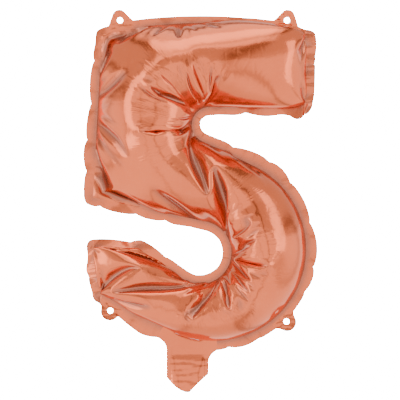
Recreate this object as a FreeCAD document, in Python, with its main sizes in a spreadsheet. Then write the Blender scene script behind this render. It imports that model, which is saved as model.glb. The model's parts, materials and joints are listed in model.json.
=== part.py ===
"""Foil number balloon, the figure 5, blown up with air and hung by its tabs.

Two sheets of metallised film are welded together round the figure.  Outside the weld lies a flat
margin, and on it four tabs with a punched hole each, and a neck at the foot.  A flat self-sealing
valve of thin clear film runs from the neck up into the body.

Row frame: +Z up, +X to the reader's right, the front of the figure faces -Y.  The origin is
halfway between the two top holes, where a hanging line carries the balloon.  Millimetres.
"""
import FreeCAD, Part
import math
import os
import Sketcher
from FreeCAD import Placement, Rotation, Vector

# alias, value in mm, what it is
SIZES = [
    ("body_width", 213.0, "seam to seam, left edge to the bowl's right edge"),
    ("body_height", 318.0, "seam to seam, bowl's foot to the crown of the top bar"),
    ("body_depth", 84.0, "front to back where the body is fullest"),
    ("film_gauge", 0.5, "wall of a film as modelled, ten times the real one"),
    ("flat_gauge", 0.3, "one layer of film where it lies flat, as modelled"),
    ("margin_gauge", 0.6, "both layers of the welded margin"),
    ("margin_width", 9.0, "welded margin outside the seam"),
    ("weld_lap", 1.5, "how far the margin reaches in under the two domes"),
    ("bar_width", 84.0, "top bar, seam to seam"),
    ("bar_rise", 12.0, "bow of the top edge above its two corners"),
    ("bar_inset", 1.0, "how far the top bar ends short of the bowl's right edge"),
    ("bar_end_lift", 4.0, "how much lower the bar's far end hangs below its root"),
    ("stem_width", 94.0, "upright, seam to seam"),
    ("stem_lean", 9.0, "how much further left the upright's foot is than its head"),
    ("foot_rise", 55.0, "upright's foot above the lower gap's centre"),
    ("upper_gap_radius", 18.0, "round end of the gap under the top bar, at the seam"),
    ("slope_drop", 14.0, "bowl's crown below the foot of the upper gap"),
    ("bowl_stroke", 74.5, "bowl's right side, seam to seam"),
    ("lower_gap_radius", 31.5, "round end of the lower gap, at the seam"),
    ("lower_gap_drop", 3.5, "lower gap's centre below the bowl's centre"),
    ("arm_end", 46.0, "height of the lower arm's end"),
    ("arm_rise", 4.5, "lower arm's top edge above the lower gap's centre"),
    ("arm_lean", 8.0, "how much the lower arm's end leans in at its foot"),
    ("arm_shoulder", 45.0, "straight top edge of the lower arm"),
    ("end_rounding", 40.0, "length over which a closed end swells to full depth"),
    ("tab_radius", 10.5, "round head of a hanging tab"),
    ("tab_base", 26.0, "width of a tab at its fold"),
    ("tab_stand", 8.0, "tab's hole above its fold"),
    ("tab_fold", 2.5, "fold of a tab outside the seam"),
    ("tab_inset", 20.0, "top tab's middle from the corner of the top bar"),
    ("tab_hole_radius", 3.0, "punched hole"),
    ("fold_gap", 0.9, "space between a tab and the margin it folds on"),
    ("low_tab_inset", 16.0, "lower left tab's middle from the arm's lower corner"),
    ("low_tab_angle", 45.0, "lower right tab below the bowl's level, degrees"),
    ("neck_width", 42.0, "flat width of the inflation neck"),
    ("neck_length", 39.0, "neck from its fold to its mouth"),
    ("neck_offset", 26.5, "neck's middle left of the bowl's centre"),
    ("neck_root", 3.0, "neck's fold below the margin"),
    ("neck_gap", 2.0, "space across the neck's fold"),
    ("neck_weld", 4.0, "side weld of the neck"),
    ("neck_bulge", 4.0, "half the opening at the neck's mouth"),
    ("neck_pinch", 0.6, "half the opening at the neck's fold"),
    ("valve_width", 24.0, "valve film"),
    ("valve_gauge", 0.2, "valve film as modelled"),
    ("valve_clear", 3.06, "valve's free end below the lower gap's margin"),
    ("valve_play", 0.1, "space between the valve and the film beside it"),
    ("valve_inset", 20.0, "lower end of the valve above the mouth"),
    ("lip_gap", 1.0, "space across the fold of a valve lip"),
]

# Where the ribs of the two domes stand, as shares of the stretch that they follow.
BAR_RIBS = (0, 0.03, 0.09, 0.18, 0.28, 0.4, 0.6, 0.8, 1)
CROWN_RIBS = (0.3, 0.66, 1)
STEM_RIBS = (0.2, 0.4, 0.6, 0.8, 1)
FOOT_RIB = 0.15
SLOPE_RIBS = (0.25, 0.5, 0.75, 1)
BOWL_SPOKES = 13
ARM_RIBS = (0.5, 1)
ARM_END_RIBS = (0.2, 0.4, 0.6, 0.78, 0.9, 0.97, 1)

THINNEST_END = 0.09   # depth of a closed end as a share of full depth
ROUNDEST_BOW = 0.97   # most that a rib rises, as a share of half its width
CUTTER_DEPTH = 3      # thickness of a tool that cuts the margin, in margin gauges

doc = FreeCAD.newDocument("foil_number_balloon")


def fill_sheet():
    """The driving dimensions, one row each, as named cells."""
    sheet = doc.addObject("Spreadsheet::Sheet", "sizes")
    for row, (alias, value, note) in enumerate(SIZES, start=1):
        sheet.set(f"A{row}", alias)
        sheet.set(f"B{row}", str(value))
        sheet.setAlias(f"B{row}", alias)
        sheet.set(f"C{row}", note)
    doc.recompute()
    return sheet


sheet = fill_sheet()
size = {alias: float(sheet.get(alias)) for alias, _, _ in SIZES}


# ---------------------------------------------------------------- outline of the figure

def at(x, z):
    return Vector(x, 0, z)


def between(start, end, share):
    return start + (end - start) * share


def on_circle(centre, radius, degrees):
    turn = math.radians(degrees)
    return centre + at(math.cos(turn), math.sin(turn)) * radius


def tangent_angle(point, centre, radius, side):
    """Direction, in degrees, of the radius at which a line from point touches the circle."""
    to_centre = centre - point
    heading = math.degrees(math.atan2(to_centre.z, to_centre.x))
    spread = math.degrees(math.asin(radius / to_centre.Length))
    return heading + side * (spread + 90)


class Figure:
    """Seam outline of the 5: corners, round ends and the tangents between them."""

    def __init__(self, s):
        # Laid out from the seam's lower left, then moved so that the hanging line is the origin.
        self.s = s
        right = s["body_width"]
        top = s["body_height"]
        gaps = 2 * s["upper_gap_radius"] + s["slope_drop"]
        self.bowl_radius = (top - s["bar_width"] - gaps) / 2
        self.bowl = at(right - self.bowl_radius, self.bowl_radius)
        gap_x = right - s["bowl_stroke"] - s["lower_gap_radius"]
        self.lower_gap = at(gap_x, self.bowl.z - s["lower_gap_drop"])
        stem_left = s["stem_lean"] / 2
        gap_z = top - s["bar_width"] - s["upper_gap_radius"]
        self.upper_gap = at(stem_left + s["stem_width"] + s["upper_gap_radius"], gap_z)
        self.stem_head = at(s["stem_lean"], top - s["bar_rise"])
        self.stem_foot = at(0, self.lower_gap.z + s["foot_rise"])
        self.bar_tip = at(right - s["bar_inset"], top - s["bar_rise"])
        bar_foot = gap_z + s["upper_gap_radius"] + s["bar_end_lift"]
        self.bar_heel = at(right - s["bar_inset"], bar_foot)
        self.arm_top = at(0, self.lower_gap.z + s["arm_rise"])
        self.arm_foot = self.arm_top + at(s["arm_lean"], -s["arm_end"])
        self.shoulder = self.arm_top + at(s["arm_shoulder"], 0)
        self.neck_x = self.bowl.x - s["neck_offset"]
        self.find_tangents()
        self.move_to_hanging_line()

    def find_tangents(self):
        s = self.s
        gap, bowl = self.upper_gap, self.bowl
        reach = gap - bowl
        both = s["upper_gap_radius"] + self.bowl_radius
        lean = math.degrees(math.acos(both / reach.Length))
        self.bowl_start = math.degrees(math.atan2(reach.z, reach.x)) - lean
        self.gap_end = self.bowl_start + 180
        self.low_start = tangent_angle(
            self.stem_foot, self.lower_gap, s["lower_gap_radius"], 1)
        self.low_end = tangent_angle(
            self.shoulder, self.lower_gap, s["lower_gap_radius"], -1)
        self.bowl_end = tangent_angle(self.arm_foot, bowl, self.bowl_radius, -1)

    def move_to_hanging_line(self):
        left = self.tab_hole(self.top_tab(-1))
        right = self.tab_hole(self.top_tab(1))
        shift = (left + right) / 2
        for name in ("bowl", "lower_gap", "upper_gap", "stem_head", "stem_foot", "bar_tip",
                     "bar_heel", "arm_top", "arm_foot", "shoulder"):
            setattr(self, name, getattr(self, name) - shift)
        self.neck_x -= shift.x

    def crown(self, share):
        """Point on the bowed top edge, from the bar's tip (0) to the upright's head (1)."""
        point = between(self.bar_tip, self.stem_head, share)
        return point + at(0, self.s["bar_rise"] * (1 - (2 * share - 1) ** 2))

    def top_tab(self, side):
        """Seam point and outward direction of a top tab: side -1 is the left one, 1 the right."""
        run = self.bar_tip - self.stem_head
        inset = self.s["tab_inset"] / run.Length
        share = inset if side > 0 else 1 - inset
        along = run + at(0, 4 * self.s["bar_rise"] * (2 * share - 1))
        return self.crown(share), at(-along.z, along.x).normalize()

    def low_left_tab(self):
        end = on_circle(self.bowl, self.bowl_radius, self.bowl_end)
        along = (end - self.arm_foot).normalize()
        outward = at(along.z, -along.x)
        return self.arm_foot + along * self.s["low_tab_inset"], outward

    def low_right_tab(self):
        point = on_circle(self.bowl, self.bowl_radius, -self.s["low_tab_angle"])
        return point, (point - self.bowl).normalize()

    def tab_hole(self, tab):
        seam, outward = tab
        return seam + outward * (self.s["tab_fold"] + self.s["tab_stand"])

    def neck_fold(self):
        s = self.s
        low = self.bowl.z - self.bowl_radius - s["margin_width"] - s["neck_root"]
        return at(self.neck_x, low)

    def above_foot(self, half_width):
        """Height just inside the margin, over a strip of this half width that runs up the neck."""
        s = self.s
        side = s["neck_offset"] + half_width
        rise = math.sqrt(self.bowl_radius ** 2 - side ** 2)
        return self.bowl.z - rise + s["weld_lap"] + 2 * s["lip_gap"]


figure = Figure(size)


def ribs():
    """Pairs of seam points with the body's depth share between them, from end to end."""
    s = size
    pairs = []
    reach = (figure.bar_tip.x - figure.upper_gap.x)
    crown_end = reach / (figure.bar_tip.x - figure.stem_head.x)
    bar_root = on_circle(figure.upper_gap, s["upper_gap_radius"], 90)

    for share in BAR_RIBS:
        one = figure.crown(share * crown_end)
        other = between(figure.bar_heel, bar_root, share)
        pairs.append((one, other, swell(share * reach)))

    low_root = on_circle(figure.lower_gap, s["lower_gap_radius"], figure.low_start)
    fan = [figure.crown(crown_end + (1 - crown_end) * share) for share in CROWN_RIBS]
    fan += [between(figure.stem_head, figure.stem_foot, share) for share in STEM_RIBS]
    fan += [between(figure.stem_foot, low_root, FOOT_RIB)]
    for k, one in enumerate(fan, start=1):
        turn = 90 + (figure.gap_end - 90) * k / len(fan)
        pairs.append((one, on_circle(figure.upper_gap, s["upper_gap_radius"], turn), 1))

    gap_root = pairs[-1][1]
    bowl_root = on_circle(figure.bowl, figure.bowl_radius, figure.bowl_start)
    for share in SLOPE_RIBS:
        one = between(fan[-1], low_root, share)
        pairs.append((one, between(gap_root, bowl_root, share), 1))

    for k in range(1, BOWL_SPOKES + 1):
        share = k / BOWL_SPOKES
        turn = figure.low_start + (figure.low_end - figure.low_start) * share
        outer_turn = figure.bowl_start + (figure.bowl_end - figure.bowl_start) * share
        one = on_circle(figure.lower_gap, s["lower_gap_radius"], turn)
        pairs.append((one, on_circle(figure.bowl, figure.bowl_radius, outer_turn), 1))

    arm_root, arm_low = pairs[-1][0], pairs[-1][1]
    end_run = (figure.arm_top - figure.shoulder).Length
    for share in ARM_RIBS:
        one = between(arm_root, figure.shoulder, share)
        pairs.append((one, between(arm_low, figure.arm_foot, share / 2), 1))
    for share in ARM_END_RIBS:
        one = between(figure.shoulder, figure.arm_top, share)
        other = between(arm_low, figure.arm_foot, 0.5 + share / 2)
        pairs.append((one, other, swell((1 - share) * end_run)))
    return pairs


def swell(distance):
    """Share of full depth at a distance from a closed end: a quarter of an ellipse."""
    short = 1 - min(distance / size["end_rounding"], 1)
    return max(math.sqrt(1 - short * short), THINNEST_END)


RIBS = ribs()


# ---------------------------------------------------------------- domes of film

def half_section(one, other, rise, facing, skirt):
    """Closed half-ellipse standing on the line from one to other.  With a skirt, its foot is
    carried that far past the line."""
    base = Vector(0, facing * size["margin_gauge"] / 2, 0)
    centre = (one + other) / 2
    bow = Part.Ellipse(one + base, centre + base + Vector(0, facing * rise, 0), centre + base)
    edges = [bow.toShape(0, math.pi)]
    start, end = one + base, other + base
    if skirt:
        drop = Vector(0, -facing * skirt, 0)
        edges.append(Part.makeLine(end, end + drop))
        edges.append(Part.makeLine(end + drop, start + drop))
        edges.append(Part.makeLine(start + drop, start))
    else:
        edges.append(Part.makeLine(end, start))
    return Part.Wire(edges)


def dome(pairs, facing, inset, skirt):
    """Solid through every rib, taken in by inset all round."""
    most = size["body_depth"] / 2 - size["margin_gauge"] / 2
    sections = []
    for one, other, share in pairs:
        along = (other - one).normalize()
        half = (other - one).Length / 2
        rise = min(most, ROUNDEST_BOW * half) * share
        sections.append(half_section(
            one + along * inset, other - along * inset, rise - inset, facing, skirt))
    return Part.makeLoft(sections, True, True)


def drawn_in(pairs, inset):
    """The ribs with the first and the last moved in by inset, for the inside of a wall."""
    def moved(end, following):
        share = inset / min((following[i] - end[i]).Length for i in (0, 1))
        points = [between(end[i], following[i], share) for i in (0, 1)]
        return (*points, end[2])
    return [moved(pairs[0], pairs[1])] + pairs[1:-1] + [moved(pairs[-1], pairs[-2])]


def neck_strip(facing):
    """Flat film from the dome's edge down to the neck's fold."""
    s = size
    fold = figure.neck_fold()
    low = fold.z + s["neck_gap"] / 2
    high = figure.above_foot(s["neck_width"] / 2)
    front = facing * s["margin_gauge"] / 2
    y = min(front, front + facing * s["flat_gauge"])
    corner = Vector(fold.x - s["neck_width"] / 2, y, low)
    return Part.makeBox(s["neck_width"], s["flat_gauge"], high - low, corner)


def body_film(label, facing):
    film = size["film_gauge"]
    outside = dome(RIBS, facing, 0, 0).fuse(neck_strip(facing))
    inside = dome(drawn_in(RIBS, film), facing, film, size["margin_gauge"])
    return add_shape(label, outside.cut(inside).removeSplitter())


def add_shape(label, shape):
    node = doc.addObject("Part::Feature", label)
    node.Shape = shape
    return node


# ---------------------------------------------------------------- welded margin

def bind(thing, **formulas):
    for name, formula in formulas.items():
        thing.setExpression(name, formula)


def cutter(label):
    """Block thick enough to cut right through the margin."""
    block = doc.addObject("Part::Box", label)
    bind(block, Width=f"sizes.margin_gauge * {CUTTER_DEPTH}")
    doc.recompute()
    return block


def tab_notch(label, seam_point, outward):
    """Block that clears the margin for a tab, from its fold outwards."""
    block = cutter(label + "_notch")
    bind(block, Length="sizes.tab_base + 2 * sizes.fold_gap",
         Height="sizes.margin_width + sizes.tab_radius")
    turn = Rotation(Vector(0, 0, 1), outward)
    corner = Vector(-size["tab_base"] / 2 - size["fold_gap"], -block.Width.Value / 2,
                    size["tab_fold"] - size["fold_gap"] / 2)
    block.Placement = Placement(seam_point + turn.multVec(corner), turn)
    return block


def seam_margin():
    """Flat ring outside the seam, notched for the tabs and slit for the valve."""
    seam = [pair[0] for pair in RIBS] + [pair[1] for pair in reversed(RIBS)]
    line = doc.addObject("Part::Feature", "seam_line")
    line.Shape = Part.makePolygon(seam + [seam[0]])

    plates = []
    for name, reach in (("margin_outer", "sizes.margin_width"),
                        ("margin_inner", "-sizes.weld_lap")):
        rim = doc.addObject("Part::Offset2D", name + "_line")
        rim.Source = line
        bind(rim, Value=reach)
        plate = doc.addObject("Part::Extrusion", name)
        plate.Base = rim
        plate.DirMode = "Custom"
        plate.Dir = Vector(0, 1, 0)
        plate.Solid = True
        plate.Symmetric = True
        bind(plate, LengthFwd="sizes.margin_gauge")
        plates.append(plate)
    outer, inner = plates

    fold = figure.neck_fold()
    root = doc.addObject("Part::Box", "neck_root_plate")
    bind(root, Length="sizes.neck_width", Width="sizes.margin_gauge")
    root_low = fold.z + size["neck_gap"] / 2
    root.Height = figure.above_foot(size["neck_width"] / 2) - root_low
    root.Placement.Base = Vector(
        fold.x - size["neck_width"] / 2, -size["margin_gauge"] / 2, root_low)
    sheet_plate = doc.addObject("Part::MultiFuse", "margin_plate")
    sheet_plate.Shapes = [outer, root]
    ring = doc.addObject("Part::Cut", "margin_ring")
    ring.Base, ring.Tool = sheet_plate, inner

    notches = [tab_notch(label, *place) for label, place in tab_places().items()]
    slit = cutter("valve_slit")
    bind(slit, Length="sizes.valve_width + 2 * sizes.valve_play")
    slit.Height = figure.above_foot(size["valve_width"] / 2) - fold.z
    slit.Placement.Base = Vector(
        fold.x - size["valve_width"] / 2 - size["valve_play"], -slit.Width.Value / 2, fold.z)
    openings = doc.addObject("Part::MultiFuse", "margin_openings")
    openings.Shapes = notches + [slit]
    margin = doc.addObject("Part::Cut", "seam_margin")
    margin.Base, margin.Tool = ring, openings
    return margin


# ---------------------------------------------------------------- hanging tabs

def tab_places():
    return {
        "hanging_tab_top_left": figure.top_tab(-1),
        "hanging_tab_top_right": figure.top_tab(1),
        "hanging_tab_bottom_left": figure.low_left_tab(),
        "hanging_tab_bottom_right": figure.low_right_tab(),
    }


def tab(label, seam_point, outward):
    """Tab in its own frame: fold axis along X through the origin, hole above it."""
    s = size
    body = doc.addObject("PartDesign::Body", label)
    outline = body.newObject("Sketcher::SketchObject", label + "_outline")
    outline.AttachmentSupport = (origin_plane(body, "XZ_Plane"), [""])
    outline.MapMode = "FlatFace"
    half, low, stand, head = s["tab_base"] / 2, s["fold_gap"] / 2, s["tab_stand"], s["tab_radius"]
    touch = touch_angle(half, stand - low, head)
    right = Vector(head * math.cos(touch), stand + head * math.sin(touch), 0)
    left = Vector(-right.x, right.y, 0)
    circle = Part.Circle(Vector(0, stand, 0), Vector(0, 0, 1), head)
    outline.addGeometry([
        Part.LineSegment(Vector(-half, low, 0), Vector(half, low, 0)),
        Part.LineSegment(Vector(half, low, 0), right),
        Part.ArcOfCircle(circle, touch, math.pi - touch),
        Part.LineSegment(left, Vector(-half, low, 0)),
    ])
    hold = Sketcher.Constraint
    outline.addConstraint([
        hold("Coincident", 0, 2, 1, 1),
        hold("Coincident", 3, 2, 0, 1),
        hold("Tangent", 1, 2, 2, 1),
        hold("Tangent", 2, 2, 3, 1),
        hold("Symmetric", 0, 1, 0, 2, -2),
        hold("PointOnObject", 2, 3, -2),
    ])
    for name, constraint, formula in (
            ("base", hold("DistanceX", 0, 1, 0, 2, 2 * half), "sizes.tab_base"),
            ("low", hold("DistanceY", -1, 1, 0, 1, low), "sizes.fold_gap / 2"),
            ("head", hold("Radius", 2, head), "sizes.tab_radius"),
            ("stand", hold("DistanceY", -1, 1, 2, 3, stand), "sizes.tab_stand")):
        named_size(outline, name, constraint, formula)
    pad = body.newObject("PartDesign::Pad", label + "_pad")
    pad.Profile = outline
    pad.Midplane = True
    bind(pad, Length="sizes.margin_gauge")
    doc.recompute()

    punch = body.newObject("Sketcher::SketchObject", label + "_punch")
    punch.AttachmentSupport = (origin_plane(body, "XZ_Plane"), [""])
    punch.MapMode = "FlatFace"
    centre = Vector(0, stand, 0)
    punch.addGeometry(Part.Circle(centre, Vector(0, 0, 1), s["tab_hole_radius"]))
    punch.addConstraint(hold("PointOnObject", 0, 3, -2))
    named_size(punch, "hole", hold("Radius", 0, s["tab_hole_radius"]), "sizes.tab_hole_radius")
    named_size(punch, "stand", hold("DistanceY", -1, 1, 0, 3, stand), "sizes.tab_stand")
    pocket = body.newObject("PartDesign::Pocket", label + "_hole")
    pocket.Profile = punch
    pocket.Type = "ThroughAll"
    pocket.Midplane = True
    turn = Rotation(Vector(0, 0, 1), outward)
    body.Placement = Placement(seam_point + outward * s["tab_fold"], turn)
    return body


def touch_angle(half, rise, head):
    """Angle on the tab's head where the line from the corner of its base meets it."""
    reach = math.hypot(half, rise)
    return math.acos(head / reach) - math.atan2(rise, half)


def named_size(sketch, name, constraint, formula):
    index = sketch.addConstraint(constraint)
    sketch.renameConstraint(index, name)
    sketch.setExpression("Constraints." + name, formula)


def origin_plane(body, role):
    return next(feature for feature in body.Origin.OriginFeatures if feature.Role == role)


# ---------------------------------------------------------------- neck and valve

def strip_section(width, weld, bulge, gauge, facing, z, clear=0.0):
    """Cross-section of one film of the neck: flat welds at both sides and a bow between."""
    half, bow = width / 2, width / 2 - weld
    x = figure.neck_x

    def point(across, out):
        return Vector(x + across, facing * out, z)

    def face(out):
        edges = [Part.Arc(point(-bow, out), point(0, out + bulge), point(bow, out)).toShape()]
        if weld:
            edges.insert(0, Part.makeLine(point(-half, out), point(-bow, out)))
            edges.append(Part.makeLine(point(bow, out), point(half, out)))
        return edges

    inner, outer = face(clear), face(clear + gauge)
    sides = [Part.makeLine(point(-half, clear), point(-half, clear + gauge)),
             Part.makeLine(point(half, clear), point(half, clear + gauge))]
    return Part.Wire(Part.__sortEdges__(inner + outer + sides))


def neck_film(label, facing):
    s = size
    fold = figure.neck_fold()
    low = fold.z - s["neck_length"]
    sections = [
        strip_section(s["neck_width"], s["neck_weld"], bulge, s["flat_gauge"], facing, z)
        for z, bulge in ((fold.z - s["neck_gap"] / 2, s["neck_pinch"]),
                         (low, s["neck_bulge"]))]
    return add_shape(label, Part.makeLoft(sections, True, True))


def valve_entry(label, facing):
    """Valve film inside the neck, lying along the neck's own film."""
    s = size
    fold = figure.neck_fold()
    top = fold.z - s["neck_gap"] / 2
    low = fold.z - s["neck_length"] + s["valve_inset"]
    run = s["neck_length"] - s["neck_gap"] / 2
    sections = []
    for z in (top, low):
        bulge = s["neck_pinch"] + (s["neck_bulge"] - s["neck_pinch"]) * (top - z) / run
        chord = s["neck_width"] / 2 - s["neck_weld"]
        radius = (chord * chord + bulge * bulge) / (2 * bulge)
        edge = math.sqrt(radius ** 2 - (s["valve_width"] / 2) ** 2) - (radius - bulge)
        sections.append(strip_section(
            s["valve_width"], 0, bulge - edge, s["valve_gauge"], facing, z,
            edge - s["valve_play"] - s["valve_gauge"]))
    return add_shape(label, Part.makeLoft(sections, True, True))


def valve_strip(label, facing, low, high):
    """Flat valve film beside the seam plane, from one height to another."""
    block = doc.addObject("Part::Box", label)
    bind(block, Length="sizes.valve_width", Width="sizes.valve_gauge")
    block.Height = high - low
    inner = size["margin_gauge"] / 2 - size["valve_gauge"]
    y = inner if facing > 0 else -size["margin_gauge"] / 2
    block.Placement.Base = Vector(figure.neck_x - size["valve_width"] / 2, y, low)
    return block


def valve():
    """Both films, each in three runs: in the neck, through the margin, and free in the body."""
    s = size
    root = figure.neck_fold().z + s["neck_gap"] / 2
    lip_fold = figure.above_foot(s["valve_width"] / 2)
    lip_low = lip_fold + s["lip_gap"] / 2
    gap_foot = figure.lower_gap.z - s["lower_gap_radius"] - s["weld_lap"]
    lip_high = gap_foot - s["valve_clear"]
    nodes = []
    for side, facing in (("front", -1), ("back", 1)):
        nodes += [
            valve_entry(f"valve_{side}_entry", facing),
            valve_strip(f"valve_{side}_film", facing, root, lip_fold - s["lip_gap"] / 2),
            valve_strip(f"valve_{side}_lip", facing, lip_low, lip_high),
        ]
    return nodes


# ---------------------------------------------------------------- build and export

nodes = [body_film("front_film", -1), body_film("back_film", 1), seam_margin()]
nodes += [tab(label, *place) for label, place in tab_places().items()]
nodes += [neck_film("neck_front_film", -1), neck_film("neck_back_film", 1)]
nodes += valve()
doc.recompute()

for thing in doc.Objects:
    faults = [word for word in thing.State if word in ("Invalid", "Error")]
    if faults:
        raise RuntimeError(f"{thing.Label} is {faults}")
for node in nodes:
    if node.Shape.isNull() or not node.Shape.isValid() or node.Shape.Volume <= 0:
        raise RuntimeError(f"{node.Label} has no sound shape")

os.makedirs("parts", exist_ok=True)
for node in nodes:
    node.Shape.exportStep(os.path.join("parts", node.Label + ".step"))
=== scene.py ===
"""Looks of the foil number balloon, the figure 5.

Two sheets of metallised film are cut, welded along the seams of the figure and blown up here as real
film: grids of points that keep their lengths while air pushes them apart, so the creases and pleats
come from the cut.  The flat margin outside the weld, the tabs and the neck are laid on to that film.
"""
import json
import math

import bpy
import numpy as np
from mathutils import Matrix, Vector


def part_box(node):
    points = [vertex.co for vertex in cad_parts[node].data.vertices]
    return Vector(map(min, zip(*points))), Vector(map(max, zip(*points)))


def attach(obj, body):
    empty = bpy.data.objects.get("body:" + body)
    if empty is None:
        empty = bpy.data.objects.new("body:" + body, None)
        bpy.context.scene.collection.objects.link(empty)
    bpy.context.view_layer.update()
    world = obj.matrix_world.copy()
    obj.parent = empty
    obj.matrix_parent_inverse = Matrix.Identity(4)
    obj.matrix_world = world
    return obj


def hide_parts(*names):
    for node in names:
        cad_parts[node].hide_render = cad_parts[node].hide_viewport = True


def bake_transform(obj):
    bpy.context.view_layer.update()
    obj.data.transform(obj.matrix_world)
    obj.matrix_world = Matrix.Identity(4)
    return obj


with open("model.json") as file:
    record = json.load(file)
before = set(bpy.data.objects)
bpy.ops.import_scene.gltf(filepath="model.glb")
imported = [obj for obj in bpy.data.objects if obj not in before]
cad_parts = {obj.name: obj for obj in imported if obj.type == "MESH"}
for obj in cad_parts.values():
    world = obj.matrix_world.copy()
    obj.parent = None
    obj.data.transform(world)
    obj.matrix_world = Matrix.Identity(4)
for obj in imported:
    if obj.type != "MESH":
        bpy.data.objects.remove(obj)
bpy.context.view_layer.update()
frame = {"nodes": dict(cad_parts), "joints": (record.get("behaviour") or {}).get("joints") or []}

MM = 0.001

# Seams of the figure, in millimetres, from the lower left of the seam's box.
WIDTH, HEIGHT = 213, 318
ORIGIN = complex(110.5, 320.582)            # the hanging line, in those coordinates
BAR_WIDTH, BAR_RISE, BAR_INSET, BAR_END_LIFT = 84, 12, 1, 4
STEM_WIDTH, STEM_LEAN, FOOT_RISE = 94, 9, 55
UPPER_GAP, SLOPE_DROP, BOWL_STROKE = 18, 14, 74.5
LOWER_GAP, LOWER_GAP_DROP = 31.5, 3.5
ARM_END, ARM_RISE, ARM_LEAN, ARM_SHOULDER = 46, 4.5, 8, 45

# Film.
HALF_DEPTH = 40                             # where the body is fullest
END_ROUNDING = 40                           # over which a closed end swells
END_SLACK = 0.05                            # share of the tube's spare width kept at a closed end
GAUGE = 0.15                                # film as drawn, both coats and a hair of air
SLACK, MARGIN_SLACK = 0.004, 0.004          # shares by which the film is longer than its plan
BEND_SLACK, SLACK_RADIUS = 0.03, 60         # extra share in a bend, and the bend's radius that gives it
STIFFNESS = 0.01                            # share of a bend that the film takes out in a round
DRAG = 0.92                                 # share of its pace that the film keeps to the next round
SEAM_GRIP, TAB_GRIP = (0.5, 0.08, 0.5), (0.8, 0.5, 0.8)     # hold on the flat plan, by x, y and z
SEED = 5
# Grid step, rounds, push of the air, unrest, and share of the flat cut's spare length that is left in.
LEVELS = (
    (6, 400, 0.010, 0.1, 0.05),
    (3, 300, 0.002, 0.05, 0.15),
    (1.65, 240, 0.0007, 0.06, 0.25),
)

# Valley folds across a bend: degrees of turn to each, where the first one starts, half width, depth as a
# share of the film's height, and the shares across that they reach and die out over.
FOLD_TURN, FOLD_START = 36, 0.55
FOLD_WIDTH, FOLD_DEPTH, FOLD_REACH, FOLD_FADE, FOLD_ROOT = 6, 0.32, 0.72, 0.45, 0.05
FOLD_RADIUS = 90                            # of a bend that folds fully
CRIMP_WIDTH = 0.15                          # half width of the row of fine gathers, as a share across
CREASE_SHADE_START, CREASE_SHADE_SPAN = 0.08, 0.30          # hollow at which a fold's painted shade starts, and over which it grows

# Welded margin.
MARGIN = 9
LOBE_LENGTH, LOBE_DEPTH = (24, 44), 0.36    # of its lobes, the depth as a share of its width
# Where the margin is cut wider or narrower: the middle, the reach along the seam and the extra width.
SIDE_FLARES = (
    (complex(94, -86), 11, 11),          # under the bar's free end
    (complex(64, -86), 16, 2),
    (complex(100, -12), 9, -3),          # the crown's two corners
    (complex(-102, -22), 15, -2.5),
    (complex(8, 0), 70, -2),             # along the crown
    (complex(-110, -128), 24, 2.5),      # beside the upright
    (complex(66, -142), 34, 4.5),        # the bowl's crown and side
    (complex(102, -240), 28, 2),
    (complex(-34, -232), 10, 4),         # in the throat of the arm
    (complex(-58, -298), 27, 7.5),       # from the lower tab to the neck
)
END_FLARES = (
    (complex(102, -32), 17, 5),          # beside the bar's free end
    (complex(-103, -248), 11, 6),        # the arm's free end
)

# Tabs and neck, on the CAD model's own places.
TAB_BASE, TAB_HOLE, TAB_RISE = 13, 3, 8     # half base, hole's radius, fold to hole
TAB_OFFSET = 3.3                            # seam to fold
TAB_CURL, TAB_BUBBLE = 0.64, 1.6            # how far a tab curls forwards and its film bubbles
TAB_BEND = 0.5, 3.5                         # where it bends, from the fold outwards
# A tab's head: centre above the hole, radius, start of its round, and where its side turns, from the hole.
POINTED_HEAD = 3.2, 7.3, 0.45, (1.5, 9.5)
ROUND_HEAD = 0.6, 9.2, 0.25, (-1.6, 10.6)
NECK_LOW, NECK_HIGH = (np.array(corner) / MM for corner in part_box("neck_front_film"))
NECK_X, NECK_WIDTH = (NECK_LOW[0] + NECK_HIGH[0]) / 2, NECK_HIGH[0] - NECK_LOW[0]
NECK_FILLET, NECK_WELD, NECK_BULGE, NECK_PINCH, NECK_CREASE = 10, 4, 4.2, 0.6, 1.1
NECK_BEND = 1.5, -1.5                       # where it bends, from the fold upwards
# The mouth's edge on either side of its lowest point: rise, share across where it starts, and curve.
MOUTH_LEFT, MOUTH_RIGHT = (15, 0, 1.8), (18, 0.12, 0.85)


class Tab:
    """Where a hanging tab folds and where its hole is, from the joint that it folds on."""

    def __init__(self, name):
        joint = next(j for j in frame["joints"] if j["name"] == f"tab_{name}_fold")
        self.name = name
        self.fold = complex(joint["pos_m"][0], joint["pos_m"][2]) / MM
        self.out = complex(-joint["axis"][2], joint["axis"][0])
        self.hole = self.fold + self.out * TAB_RISE
        self.head = POINTED_HEAD if name.startswith("top") else ROUND_HEAD


TABS = [Tab(name) for name in ("top_left", "top_right", "bottom_left", "bottom_right")]
NECK_FOLD = next(j["pos_m"][2] for j in frame["joints"] if j["name"] == "neck_fold") / MM

# Valve: its front lip, how far it spreads and the room that the film leaves it.
LIP_LOW, LIP_HIGH = (np.array(corner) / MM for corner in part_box("valve_front_lip"))
LIP_JOINT = next(j for j in frame["joints"] if j["name"] == "valve_front_lip_bulge")
LIP_FOLD = LIP_JOINT["pos_m"][2] / MM
LIP_SPREAD = math.tan(math.radians(LIP_JOINT["range_deg"][1]))
LIP_ROOM = 2.5


# ---------------------------------------------------------------- seams

def tangent_turn(point, centre, radius, side):
    """Direction of the radius at which a line from the point touches the circle."""
    reach = centre - point
    return np.angle(reach) + side * (math.asin(radius / abs(reach)) + math.pi / 2)


def straight(start, end, count):
    return start + (end - start) * np.linspace(0, 1, count)


def arc(centre, radius, start, end, count):
    return centre + radius * np.exp(1j * np.linspace(start, end, count))


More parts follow.
